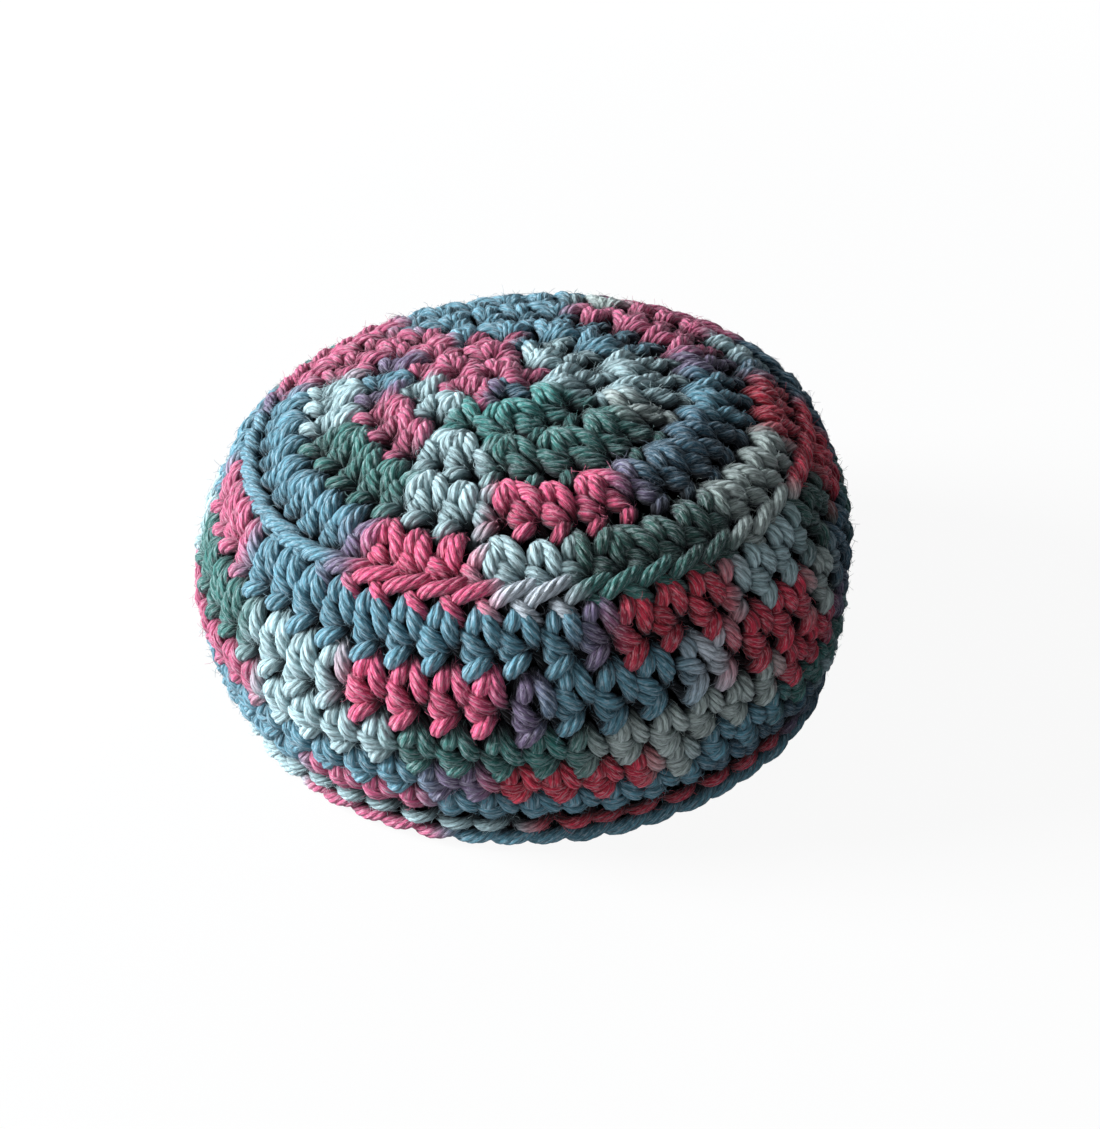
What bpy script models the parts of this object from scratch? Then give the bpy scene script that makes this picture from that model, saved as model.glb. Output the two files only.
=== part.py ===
"""A drum-shaped crocheted footbag: a yarn cover of a domed top panel, a bulging side wall and a flat base
panel, with a raised ridge round the top rim and a roped seam round the foot. Inside it lie a two-part cloth
lining with its sewn seam, and the pellets that fill it. Metres, Z up, standing on Z = 0 with the axis at the
origin."""

import math

import bmesh
import bpy

MM = 0.001

# Clearance between touching pieces
GAP = 0.3 * MM

# The yarn cover: where its two raised lines run, and how far the wall swells beyond its wider edge
RIDGE_RADIUS = 26.6 * MM
RIDGE_HEIGHT = 26.2 * MM
RIDGE_THICKNESS = 2.0 * MM
BULGE_SWELL = 1.9 * MM
BULGE_HEIGHT = 13.6 * MM
SEAM_RADIUS = 28.6 * MM
SEAM_THICKNESS = 2.0 * MM
SEAM_LIFT = 0.3 * MM
DOME_RISE = 6.6 * MM
PANEL_EDGE_DROP = 0.6 * MM
BASE_FLAT_RADIUS = 22.0 * MM
BASE_EDGE_LIFT = 0.9 * MM

# How far the dome has turned over at its edge, from level at the axis
DOME_TURN = math.radians(75)

# Thickness of each worked fabric, and how far the crest of a round stands out of its groove
WALL_THICKNESS = 2.6 * MM
TOP_THICKNESS = 2.6 * MM
BASE_THICKNESS = 2.4 * MM
CREST = 0.55 * MM

# Counts of the crochet, and each wall round's share of the wall's height, from the ridge down
STITCH_COUNT = 52
TOP_ROUND_COUNT = 5
WALL_ROUND_SHARES = (0.16, 0.22, 0.20, 0.16, 0.13, 0.13)

# The lining pouch
LINING_THICKNESS = 0.6 * MM
LINING_CORNER = 2.4 * MM
THREAD_THICKNESS = 0.9 * MM
INNER_SIDES = 36

# Across one round of stitches: how far along it each point lies, and the share of the crest there
ROUND_SHARES = ((0.0, 0.0), (0.28, 1.0), (0.72, 1.0))

DOME_STEPS = 6
WALL_STEPS = 5
RING_SIDES = 8


def wall_radius(height):
    """Outer radius of the side wall's grooves at a height, swelling from both edges to the bulge."""
    if height > BULGE_HEIGHT:
        edge_radius, edge_height = WALL_TOP_RADIUS, WALL_TOP
    else:
        edge_radius, edge_height = WALL_FOOT_RADIUS, WALL_FOOT
    share = (height - BULGE_HEIGHT) / (edge_height - BULGE_HEIGHT)
    return BULGE_GROOVE - (BULGE_GROOVE - edge_radius) * share * share


def dome_point(share, depth=0.0):
    """A point of the top panel's grooves, from the axis (0) to its edge (1), sunk into the panel by depth.
    The dome is part of an ellipse, so it stays full towards its edge."""
    wide = PANEL_RADIUS / math.sin(DOME_TURN)
    tall = (DOME_TOP - PANEL_EDGE_HEIGHT) / (1 - math.cos(DOME_TURN))
    turn = math.asin(share * math.sin(DOME_TURN))
    out, up = tall * math.sin(turn), wide * math.cos(turn)
    sunk = depth / math.hypot(out, up)
    return wide * math.sin(turn) - out * sunk, DOME_TOP - tall * (1 - math.cos(turn)) - up * sunk


# Derived places
WALL_TOP = RIDGE_HEIGHT - RIDGE_THICKNESS / 2 - GAP
WALL_TOP_RADIUS = RIDGE_RADIUS + WALL_THICKNESS / 2
SEAM_HEIGHT = SEAM_LIFT + SEAM_THICKNESS / 2
WALL_FOOT = SEAM_HEIGHT + SEAM_THICKNESS / 2 + GAP
WALL_FOOT_RADIUS = SEAM_RADIUS + WALL_THICKNESS / 2
BULGE_GROOVE = max(WALL_TOP_RADIUS, WALL_FOOT_RADIUS) + BULGE_SWELL - CREST
PANEL_RADIUS = RIDGE_RADIUS - max(WALL_THICKNESS, RIDGE_THICKNESS) / 2 - GAP
PANEL_EDGE_HEIGHT = RIDGE_HEIGHT - PANEL_EDGE_DROP
DOME_TOP = RIDGE_HEIGHT + DOME_RISE - CREST
BASE_RADIUS = SEAM_RADIUS - max(WALL_THICKNESS, SEAM_THICKNESS) / 2 - GAP
LINING_SHOULDER = dome_point(1.0, TOP_THICKNESS + GAP)[1] - LINING_CORNER
LINING_FOOT = BASE_THICKNESS + GAP + LINING_CORNER
LINING_SEAM_HEIGHT = (LINING_SHOULDER + LINING_FOOT) / 2


def clear_scene():
    for old in list(bpy.data.objects):
        bpy.data.objects.remove(old, do_unlink=True)


def material(name, colour, roughness):
    made = bpy.data.materials.new(name)
    made.use_nodes = True
    surface = made.node_tree.nodes["Principled BSDF"]
    surface.inputs["Base Color"].default_value = (*colour, 1.0)
    surface.inputs["Roughness"].default_value = roughness
    surface.inputs["Metallic"].default_value = 0.0
    return made


def shifted(points, distance):
    """The line of points moved to its left by distance, each point along the bisector of its two runs."""
    moved = []
    for i, (r, z) in enumerate(points):
        before = points[max(i - 1, 0)]
        after = points[min(i + 1, len(points) - 1)]
        turns = []
        for start, end in ((before, (r, z)), ((r, z), after)):
            run = math.hypot(end[0] - start[0], end[1] - start[1])
            if run > 0:
                turns.append(((start[1] - end[1]) / run, (end[0] - start[0]) / run))
        across = [sum(turn[k] for turn in turns) for k in (0, 1)]
        reach = across[0] ** 2 + across[1] ** 2
        scale = distance * len(turns) / reach
        moved.append((max(r + across[0] * scale, 0.0), z + across[1] * scale))
    return moved


def rippled(edges, place):
    """Points of a worked surface, one crest for each round of stitches between two neighbouring edges."""
    points = []
    for start, end in zip(edges, edges[1:]):
        for along, rise in ROUND_SHARES:
            points.append(place(start + (end - start) * along, CREST * rise))
    points.append(place(edges[-1], 0.0))
    return points


def turned(name, outline, finish, sides, closed=True):
    """A body turned round the Z axis from its outline of (radius, height) points. An outline that isn't
    closed ends at the rim of a flat underside, which one face fills."""
    shape = bmesh.new()
    corners = [shape.verts.new((r, 0.0, z)) for r, z in outline]
    runs = [shape.edges.new(pair) for pair in zip(corners, corners[1:])]
    if closed and (outline[0][0] > 0 or outline[-1][0] > 0):
        runs.append(shape.edges.new((corners[-1], corners[0])))
    bmesh.ops.spin(
        shape,
        geom=corners + runs,
        cent=(0, 0, 0),
        axis=(0, 0, 1),
        angle=2 * math.pi,
        steps=sides,
        use_merge=True,
    )
    bmesh.ops.remove_doubles(shape, verts=shape.verts, dist=GAP / 100)
    if not closed:
        rim = [edge for edge in shape.edges if edge.is_boundary]
        bmesh.ops.edgeloop_fill(shape, edges=rim)
    bmesh.ops.recalc_face_normals(shape, faces=shape.faces)
    mesh = bpy.data.meshes.new(name)
    shape.to_mesh(mesh)
    shape.free()
    mesh.materials.append(finish)
    mesh.shade_smooth()
    mesh.set_sharp_from_angle(angle=math.radians(50))
    made = bpy.data.objects.new(name, mesh)
    bpy.context.scene.collection.objects.link(made)
    return made


def ring(name, radius, height, thickness, finish, sides):
    outline = []
    for step in range(RING_SIDES):
        angle = 2 * math.pi * (step + 0.5) / RING_SIDES
        reach = thickness / 2 / math.cos(math.pi / RING_SIDES)
        outline.append((radius + reach * math.cos(angle), height + reach * math.sin(angle)))
    return turned(name, outline, finish, sides)


def top_panel():
    """The domed disc, worked in rounds from its middle out to the ridge."""
    edges = [number / TOP_ROUND_COUNT for number in range(TOP_ROUND_COUNT + 1)]
    outer = rippled(edges, lambda share, rise: dome_point(share, -rise))
    outer[0] = dome_point(0.0, -CREST)
    inner = [dome_point(step / DOME_STEPS, TOP_THICKNESS) for step in range(DOME_STEPS, -1, -1)]
    finish = material("top_yarn", (0.25, 0.42, 0.38), 0.9)
    return turned("top_panel", outer + inner, finish, STITCH_COUNT)


def rim_ridge():
    """The loops left unworked round the top rim, which lie like a rope on the wall's upper edge."""
    finish = material("ridge_yarn", (0.55, 0.12, 0.16), 0.9)
    return ring("rim_ridge", RIDGE_RADIUS, RIDGE_HEIGHT, RIDGE_THICKNESS, finish, STITCH_COUNT)


def side_wall():
    """The bulging band between the ridge and the foot, a crest for each of its rounds."""
    edges = [0.0]
    for share in WALL_ROUND_SHARES:
        edges.append(edges[-1] + share)
    tall = (WALL_FOOT - WALL_TOP) / edges[-1]

    def place(share, rise):
        height = WALL_TOP + tall * share
        return wall_radius(height) + rise, height

    outer = rippled(edges, place)
    levels = [edges[-1] * step / WALL_STEPS for step in range(WALL_STEPS, -1, -1)]
    inner = [place(share, -WALL_THICKNESS) for share in levels]
    finish = material("wall_yarn", (0.12, 0.28, 0.36), 0.9)
    return turned("side_wall", outer + inner, finish, STITCH_COUNT)


def base_seam():
    """The roped edge that joins the base panel to the wall."""
    finish = material("seam_yarn", (0.16, 0.32, 0.38), 0.9)
    return ring("base_seam", SEAM_RADIUS, SEAM_HEIGHT, SEAM_THICKNESS, finish, STITCH_COUNT)


def base_panel():
    """The base disc. It rests on its flat middle, and its edge rises to the seam."""
    edge_round = BASE_THICKNESS - BASE_EDGE_LIFT
    upper = [(0.0, BASE_THICKNESS), (BASE_RADIUS - edge_round / 2, BASE_THICKNESS)]
    side = [(BASE_RADIUS, BASE_THICKNESS - edge_round / 2)]

    def place(share, rise):
        height = BASE_EDGE_LIFT * (1 - share)
        return BASE_RADIUS + (BASE_FLAT_RADIUS - BASE_RADIUS) * share, height - rise * (1 - share)

    under = rippled([0.0, 1.0], place)
    finish = material("base_yarn", (0.50, 0.14, 0.16), 0.9)
    return turned("base_panel", upper + side + under, finish, STITCH_COUNT, closed=False)


def pouch_upper():
    """Outline of the space that the cover leaves for the lining, from the axis down to the lining's seam."""
    sunk = TOP_THICKNESS + GAP
    dome = [dome_point(step / DOME_STEPS, sunk) for step in range(DOME_STEPS + 1)]
    heights = [LINING_SHOULDER + (LINING_SEAM_HEIGHT - LINING_SHOULDER) * step / 3 for step in range(4)]
    return dome + [(wall_radius(height) - WALL_THICKNESS - GAP, height) for height in heights]


def pouch_lower():
    """The same space from the lining's seam down to the axis on the base panel."""
    floor = BASE_THICKNESS + GAP
    heights = [LINING_SEAM_HEIGHT + (LINING_FOOT - LINING_SEAM_HEIGHT) * step / 3 for step in range(4)]
    side = [(wall_radius(height) - WALL_THICKNESS - GAP, height) for height in heights]
    return side + [(BASE_RADIUS - LINING_CORNER, floor), (0.0, floor)]


def lining():
    """Two cloth halves, domed and flat, whose edges meet at the sewn seam."""
    cloth = material("lining_cloth", (0.012, 0.014, 0.018), 0.95)
    upper = pouch_upper()
    upper[-1] = (upper[-1][0], upper[-1][1] + GAP / 2)
    top = turned("lining_top", upper + shifted(upper, -LINING_THICKNESS)[::-1], cloth, INNER_SIDES)
    lower = pouch_lower()
    lower[0] = (lower[0][0], lower[0][1] - GAP / 2)
    bottom = turned("lining_bottom", lower + shifted(lower, -LINING_THICKNESS)[::-1], cloth, INNER_SIDES)
    return top, bottom


def lining_inside():
    """Radius of the lining's inner face at its seam."""
    return wall_radius(LINING_SEAM_HEIGHT) - WALL_THICKNESS - GAP - LINING_THICKNESS


def lining_seam():
    """The thread that closes the lining, run round inside the edges that it joins."""
    finish = material("lining_thread", (0.05, 0.05, 0.06), 0.8)
    radius = lining_inside() - GAP - THREAD_THICKNESS / 2
    return ring("lining_seam", radius, LINING_SEAM_HEIGHT, THREAD_THICKNESS, finish, INNER_SIDES)


def pellet_fill():
    """The pellets as one mass that fills the lining and leaves room round its sewn thread."""
    sunk = LINING_THICKNESS + GAP
    upper = shifted(pouch_upper(), -sunk)
    lower = shifted(pouch_lower(), -sunk)
    notch = lining_inside() - THREAD_THICKNESS - 2 * GAP
    half = THREAD_THICKNESS / 2 + GAP
    upper[-1] = (upper[-1][0], LINING_SEAM_HEIGHT + half)
    lower[0] = (lower[0][0], LINING_SEAM_HEIGHT - half)
    groove = [(notch, LINING_SEAM_HEIGHT + half), (notch, LINING_SEAM_HEIGHT - half)]
    finish = material("pellets", (0.75, 0.73, 0.68), 0.5)
    return turned("pellet_fill", upper + groove + lower, finish, INNER_SIDES)


def build():
    clear_scene()
    top_panel()
    rim_ridge()
    side_wall()
    base_seam()
    base_panel()
    lining()
    lining_seam()
    pellet_fill()


build()
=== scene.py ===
"""Looks of the crocheted footbag. Each round of crochet is one plied yarn that runs through all its
stitches, in the colours that the dyed yarn has there, with painted shade deep in the work, painted
highlights on its crowns and painted glints on its fibres. Under it lie the dark lining, its sewn seam
and the pellets. Metres, Z up, but forms are worked out in mm. Turns are in degrees round the axis from
the photograph's side (-Y), positive to its right."""

import math
from collections import namedtuple

import bmesh
import bpy
import numpy as np
from mathutils import Matrix, Vector


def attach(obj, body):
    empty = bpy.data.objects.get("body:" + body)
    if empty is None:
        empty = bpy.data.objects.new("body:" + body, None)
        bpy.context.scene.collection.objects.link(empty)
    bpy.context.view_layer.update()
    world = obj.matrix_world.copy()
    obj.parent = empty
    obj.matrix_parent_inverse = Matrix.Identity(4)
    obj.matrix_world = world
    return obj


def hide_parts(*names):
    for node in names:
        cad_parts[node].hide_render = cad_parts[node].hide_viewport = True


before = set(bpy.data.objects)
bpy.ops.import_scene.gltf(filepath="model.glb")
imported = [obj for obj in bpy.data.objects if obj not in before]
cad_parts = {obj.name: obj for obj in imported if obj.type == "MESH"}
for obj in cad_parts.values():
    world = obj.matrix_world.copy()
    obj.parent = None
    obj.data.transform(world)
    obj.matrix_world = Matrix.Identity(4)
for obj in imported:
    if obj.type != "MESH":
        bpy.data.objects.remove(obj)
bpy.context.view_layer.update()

MM = 0.001
SEED = 52
rng = np.random.default_rng(SEED)


# The cover's middle surface as (radius, height) in mm, from the top's middle over the rim to the base's, and
# the steps of its curve between two of these points
PROFILE = (
    (0.0, 31.5), (2.5, 31.45), (5.0, 31.3), (10.0, 30.8), (15.0, 29.95), (19.0, 28.9), (21.5, 28.0),
    (23.7, 26.9), (25.3, 26.0), (26.6, 25.1), (27.4, 23.9), (28.3, 21.9), (29.3, 19.9), (30.0, 18.0),
    (30.6, 16.0), (30.75, 13.8), (30.6, 11.5), (30.4, 9.0), (30.1, 7.0), (29.7, 5.2), (29.3, 3.7),
    (28.9, 2.4), (28.1, 1.5), (26.6, 1.2), (22.0, 1.2), (12.0, 1.2), (0.0, 1.2),
)
PROFILE_STEPS = 30
# The soft bag leans: mm to the right at these heights
LEAN_HEIGHTS, LEANS = (0.0, 5.0, 13.0, 27.0, 33.0), (-0.35, -0.6, -0.9, 0.45, 0.6)
# Above this height, on top, the spiral starts off the axis, and the work round it shifts with it, in mm
TOP_ABOVE = 20
SPIRAL_SHIFT, SPIRAL_REACH = (-3.2, 0.8), 19.0


# The yarn

# Radius in mm, and the mm along it that one turn of its left-hand twist takes
YARN_RADIUS = 0.62
PLY_LAY = -6.6
# Its plies, and the depth of the grooves between them as a share of the radius
PLIES = 6
PLY_DEPTH = 0.14
YARN_SIDES = 24
# Steps along it in mm: seen, and hidden below this height above the cover's middle surface
RING_STEP = 0.42
HIDDEN_STEP = 0.75
HIDDEN_DEPTH = -0.55
# Points of its curve to each control point, and the drift of its brightness over so many points
CURVE_STEPS = 8
TONE_SPREAD, TONE_RUN = 0.10, 40
# Painted shade and light in the yarn's colour, by its height above the cover's middle surface in mm:
# painted shade deep in the work and a painted highlight on the highest yarn. Light that bounces between
# the yarns takes on their colour, so the painted shade is more saturated than the dye.
SHADE_HEIGHTS = (-1.2, -0.45, 0.28, 0.79, 1.25)
SHADES = (0.02, 0.03, 0.13, 0.83, 1.25)
SHADE_SATURATION = 0.45
# Margins of a block of the flat map, as shares of it
MAP_SIDE, MAP_END = 0.04, 0.01


# Stitches and loops

# One stitch, as the yarn runs through it: pitches to the right, rows down (times the rise above 0 and the
# fall below it), mm outward, and thickness. It starts at the right leg's foot and ends at the next one's.
STITCH = (
    (0.85, 0.26, -0.8, 0.85), (0.86, 0.17, -0.2, 1.02), (0.83, 0.05, 0.36, 1.24),
    (0.77, -0.12, 0.66, 1.34), (0.69, -0.34, 0.58, 1.26), (0.61, -0.54, 0.12, 1.05),
    (0.53, -0.68, -0.55, 0.85), (0.47, -0.5, -0.8, 0.8), (0.52, -0.1, -0.85, 0.8), (0.64, 0.18, -0.8, 0.8),
    (0.68, 0.27, -0.45, 0.92), (0.6, 0.27, 0.0, 1.05), (0.47, 0.2, 0.36, 1.16), (0.32, 0.11, 0.6, 1.24),
    (0.16, 0.02, 0.54, 1.18), (0.04, -0.05, 0.14, 1.02), (-0.01, -0.06, -0.4, 0.85),
    (0.05, -0.15, -0.9, 0.8), (0.15, -0.35, -1.1, 0.8), (0.25, -0.54, -0.85, 0.85),
    (0.33, -0.57, -0.35, 0.98), (0.33, -0.49, 0.18, 1.16), (0.3, -0.35, 0.58, 1.32),
    (0.25, -0.19, 0.48, 1.26), (0.22, -0.02, -0.2, 0.95), (0.17, 0.06, -0.5, 0.85), (0.13, 0.16, 0.0, 1.0),
    (0.17, 0.26, 0.36, 1.14), (0.27, 0.33, 0.46, 1.18), (0.4, 0.36, 0.28, 1.08), (0.52, 0.36, -0.2, 0.92),
    (0.61, 0.34, -0.7, 0.8),
)
DROP = (
    (0.68, 0.35, -0.4, 0.9), (0.64, 0.39, 0.12, 1.08), (0.55, 0.44, 0.5, 1.26), (0.43, 0.51, 0.64, 1.34),
    (0.31, 0.59, 0.52, 1.24), (0.23, 0.64, 0.08, 1.0), (0.18, 0.6, -0.6, 0.8),
)
STITCH_END = ((0.02, 0.42, -0.95, 0.80),)

# The rows of loops: pitches to the right, mm down, mm outward, and thickness
RIDGE_LOOP = (
    (1.34, -2.5, -0.5, 0.9), (1.16, -2.1, 0.25, 1.0), (0.9, -1.55, 0.6, 1.12), (0.6, -1.0, 0.82, 1.18),
    (0.3, -0.48, 0.85, 1.18), (0.08, 0.0, 0.6, 1.08), (-0.02, 0.2, 0.15, 0.95), (-0.12, 0.1, -0.45, 0.85),
    (-0.32, -0.1, -0.4, 0.9), (-0.34, 0.1, 0.25, 1.02), (-0.2, 0.65, 0.66, 1.18), (0.0, 1.3, 0.66, 1.2),
    (0.18, 1.95, 0.22, 1.05), (0.26, 2.4, -0.5, 0.85), (0.3, 1.4, -1.1, 0.8), (0.33, -0.2, -1.2, 0.8),
    (0.35, -1.8, -1.0, 0.85),
)
ROPE_LOOP = (
    (1.25, -0.45, 0.0, 0.95), (1.08, -0.38, 0.45, 1.1), (0.82, -0.22, 0.75, 1.22),
    (0.55, -0.05, 0.85, 1.25), (0.25, 0.12, 0.75, 1.22), (0.02, 0.26, 0.4, 1.08), (-0.1, 0.3, -0.1, 0.9),
    (0.05, 0.1, -0.8, 0.8), (0.25, -0.3, -0.9, 0.8),
)
DASH_LOOP = (
    (0.98, -0.1, -0.6, 0.75), (0.84, -0.08, 0.05, 0.82), (0.64, -0.04, 0.42, 0.95),
    (0.44, 0.02, 0.52, 1.0), (0.22, 0.08, 0.34, 0.92), (0.08, 0.12, -0.1, 0.8), (0.0, 0.1, -0.7, 0.75),
)

# The hole of the round before that a stitch's legs come out of, in pitches, how close they are there, and at
# which share of the rise they are in it
HOLE = 0.40
LEG_SPREAD = 0.85
LEG_REACH = 0.7
# Pitches by which the stitches move to the right from round to round
SHIFT = 0.36
# How far the drops of the top's rounds sink into the work, as (turn, mm): they hardly show on the right
TOP_DROPS_SUNK = ((0, 0.0), (28, 0.75), (140, 0.75), (180, 0.0))
# How steeply the ridge's loops slant round the rim, as (turn, share): on the left they lie almost in line
RIDGE_SLANTS = (
    (-180, 0.8), (-130, 0.6), (-105, 0.3), (-62, 0.35), (-34, 0.8), (0, 0.8), (20, 0.7), (42, 0.55),
    (62, 0.42), (130, 0.4), (180, 0.8),
)
FULL_SLANTS = ((-180, 1.0), (180, 1.0))
# Where they slant less, what is seen of them comes nearer to lying evenly this far out by this share, and
# their undersides, which are more than so far down, sink by so much (mm)
LOOP_SEEN_OUT, LOOP_EVENED, LOOP_EVEN_OUT = -0.3, 0.8, 0.45
LOOP_UNDERSIDE, LOOP_SUNK = 0.5, -0.8
# How much they differ: in lean (pitches), in lift (a share of the rise for stitches, mm for loops), and in
# each point's place along the profile, round the bag and outward (mm)
STITCH_LEAN, STITCH_LIFT, STITCH_JITTER = 0.05, 0.04, (0.09, 0.09, 0.06)
LOOP_LEAN, LOOP_LIFT, LOOP_JITTER = 0.04, 0.08, (0.05, 0.06, 0.05)
THICKNESS_JITTER = 0.03
# The sum of three random values over the spread of one, and the least radius for turns, in mm
SPREAD_OF_THREE = 1.7
LEAST_REACH = 2.0
# The floor presses flat what lies lower than this, in mm
FLOOR_SOFT = 0.35


# Dyes

# Colours of the dyed yarn in sRGB, and the degrees on each side over which one runs into the next
DYES = {
    "pink": (0.79, 0.36, 0.515),
    "rose": (0.895, 0.33, 0.51),
    "coral": (0.86, 0.38, 0.43),
    "red": (0.85, 0.20, 0.31),
    "teal": (0.37, 0.58, 0.655),
    # A darker teal, laid only on the right side away from the main light: partly a darker dye, partly
    # painted shade
    "deep_teal_and_shade": (0.25, 0.41, 0.49),
    "green": (0.215, 0.465, 0.44),
    "sage": (0.245, 0.56, 0.54),
    # A darker green, laid only on the right side away from the main light: partly a darker dye, partly
    # painted shade
    "deep_green_and_shade": (0.19, 0.355, 0.325),
    "mint": (0.71, 0.83, 0.85),
    "white": (0.81, 0.85, 0.89),
    "grey": (0.70, 0.76, 0.745),
    "purple": (0.48, 0.41, 0.54),
}
BLEND_TURN = 2.5

# Where each dye starts along the rounds, as (turn, dye) from the left over the front to the back
# The darker teal and green run only on the right, away from the main light, as partly painted shade
DYE_RUNS = {
    "A": ((-180, "pink"), (-15, "purple"), (10, "deep_teal_and_shade"), (50, "pink")),
    "B": ((-180, "pink"), (-98, "mint"), (-40, "sage"), (66, "mint"), (150, "teal"), (168, "pink")),
    "C": ((-180, "teal"), (-150, "pink"), (-127, "purple"), (-110, "teal"), (-96, "purple"), (-87, "pink"),
        (-45, "mint"), (-13, "green"), (58, "grey"), (74, "mint"), (116, "teal")),
    "D": ((-180, "teal"), (-142, "pink"), (-111, "mint"), (-80, "green"), (-38, "mint"), (-12, "rose"),
        (26, "purple"), (33, "deep_teal_and_shade"), (72, "teal"), (99, "purple"), (112, "pink"), (163, "teal")),
    "E": ((-180, "teal"), (-148, "pink"), (-109, "teal"), (-43, "purple"), (-38, "rose"), (-12, "mint"),
        (7, "deep_green_and_shade"), (45, "grey"), (76, "red"), (100, "deep_teal_and_shade"), (110, "mint"), (125, "pink"),
        (152, "grey"), (166, "teal")),
    "ridge": ((-180, "teal"), (-151, "pink"), (-112, "purple"), (-104, "teal"), (-43, "purple"),
        (-38, "rose"), (-8, "white"), (7, "green"), (28, "deep_green_and_shade"), (42, "grey"), (63, "red"),
        (95, "deep_teal_and_shade"), (125, "pink"), (161, "teal")),
    "wall_1": ((-180, "mint"), (-150, "green"), (-118, "teal"), (-90, "pink"), (-64, "teal"),
        (8, "purple"), (14, "red"), (38, "mint"), (58, "deep_green_and_shade"), (74, "red"), (88, "deep_teal_and_shade"),
        (120, "pink"), (152, "purple"), (158, "mint")),
    "wall_2": ((-180, "coral"), (-152, "purple"), (-146, "teal"), (-118, "mint"), (-88, "green"),
        (-56, "mint"), (-33, "rose"), (-5, "purple"), (2, "teal"), (27, "white"), (34, "red"),
        (56, "grey"), (66, "deep_teal_and_shade"), (82, "green"), (114, "mint"), (146, "coral")),
    "wall_3": ((-180, "green"), (-148, "teal"), (-112, "purple"), (-104, "pink"), (-52, "mint"),
        (-23, "green"), (9, "grey"), (46, "red"), (64, "purple"), (72, "deep_teal_and_shade"), (108, "mint"),
        (140, "green")),
    "wall_4": ((-180, "pink"), (-150, "mint"), (-128, "green"), (-100, "teal"), (-18, "purple"),
        (-7, "red"), (20, "grey"), (28, "teal"), (46, "green"), (76, "mint"), (104, "pink"), (136, "teal"),
        (166, "pink")),
    "wall_5": ((-180, "teal"), (-146, "green"), (-112, "mint"), (-82, "teal"), (-43, "pink"),
        (-18, "teal"), (30, "deep_teal_and_shade"), (60, "mint"), (92, "green"), (124, "coral"), (154, "teal")),
    "dashes": ((-180, "mint"), (-148, "pink"), (-112, "teal"), (-70, "mint"), (-2, "red"), (50, "purple"),
        (58, "deep_teal_and_shade"), (96, "green"), (130, "mint")),
    "rope": ((-180, "pink"), (-150, "teal"), (-118, "green"), (-90, "mint"), (-48, "pink"), (-18, "teal"),
        (60, "deep_teal_and_shade"), (94, "red"), (128, "mint"), (158, "pink")),
    "seam": ((-180, "green"), (-120, "teal"), (-60, "pink"), (0, "deep_teal_and_shade"), (60, "mint"), (120, "pink")),
    "base_1": ((-180, "green"), (-140, "mint"), (-100, "coral"), (-62, "teal"), (-20, "mint"),
        (16, "green"), (54, "pink"), (90, "purple"), (98, "teal"), (134, "mint"), (160, "green")),
    "base_2": ((-180, "teal"), (-132, "pink"), (-88, "mint"), (-40, "green"), (8, "teal"), (56, "purple"),
        (66, "pink"), (112, "mint"), (150, "teal")),
    "base_3": ((-180, "mint"), (-120, "green"), (-58, "teal"), (4, "pink"), (70, "mint"), (128, "green")),
    "base_4": ((-180, "pink"), (-90, "mint"), (10, "teal"), (100, "green")),
    "base_5": ((-180, "teal"), (0, "pink")),
}


# One round of crochet: its place on the cover as (radius, height) in mm, its stitches and their rise in mm,
# the first one's place in pitches, their fall in mm, whether they have a drop, and how flat they are in mm
Round = namedtuple(
    "Round", "name node slot place count rise phase fall drops flat", defaults=(None, None, True, 0.0)
)
# The solid and the material slot of each band of the work
TOP, WALL, BASE = ("top_panel", "top_yarn"), ("side_wall", "wall_yarn"), ("base_panel", "base_yarn")
RIDGE, SEAM = ("rim_ridge", "ridge_yarn"), ("base_seam", "seam_yarn")
# Stitches round the rim, the wall and the foot, and the place of the wall's first stitch in pitches
EDGE_COUNT = 52
WALL_PHASE = 0.09
ROUNDS = (
    Round("A", *TOP, (2.5, 32.7), 6, 2.5, flat=0.2),
    Round("B", *TOP, (6.9, 32.4), 14, 4.2, flat=0.3),
    Round("C", *TOP, (12.1, 31.8), 27, 4.6, flat=0.3),
    Round("D", *TOP, (18.2, 30.4), 39, 4.6, fall=5.5, flat=0.25),
    Round("E", *TOP, (24.1, 27.9), EDGE_COUNT, 4.7, WALL_PHASE - SHIFT, fall=4.2, drops=False, flat=0.2),
    Round("wall_1", *WALL, (28.9, 23.8), EDGE_COUNT, 3.9, WALL_PHASE),
    Round("wall_2", *WALL, (31.3, 18.7), EDGE_COUNT, 3.9, WALL_PHASE + SHIFT),
    Round("wall_3", *WALL, (31.8, 12.8), EDGE_COUNT, 3.5, WALL_PHASE + 2 * SHIFT),
    Round("wall_4", *WALL, (31.6, 9.0), EDGE_COUNT, 2.7, WALL_PHASE + 3 * SHIFT),
    Round("wall_5", *WALL, (31.0, 6.2), EDGE_COUNT, 2.1, WALL_PHASE + 4 * SHIFT, fall=3.0, drops=False),
    Round("base_1", *BASE, (24.5, 0.0), EDGE_COUNT, 3.6, WALL_PHASE, flat=0.3),
    Round("base_2", *BASE, (18.8, 0.0), 39, 4.0, flat=0.3),
    Round("base_3", *BASE, (13.0, 0.0), 27, 4.0, flat=0.3),
    Round("base_4", *BASE, (7.4, 0.0), 15, 4.0, flat=0.3),
    Round("base_5", *BASE, (3.0, 0.0), 7, 3.0, flat=0.3),
)
# Places of the rows of loops, as (radius, height) in mm, and of their first loops, in pitches
RIDGE_PLACE, RIDGE_PHASE = (27.2, 26.6), 0.79
DASH_PLACE, DASH_PHASE = (29.9, 3.1), 0.3
ROPE_PLACE, ROPE_PHASE = (29.3, 1.2), 0.6
SEAM_PLACE, SEAM_PHASE = (27.4, 0.6), 0.1


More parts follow.
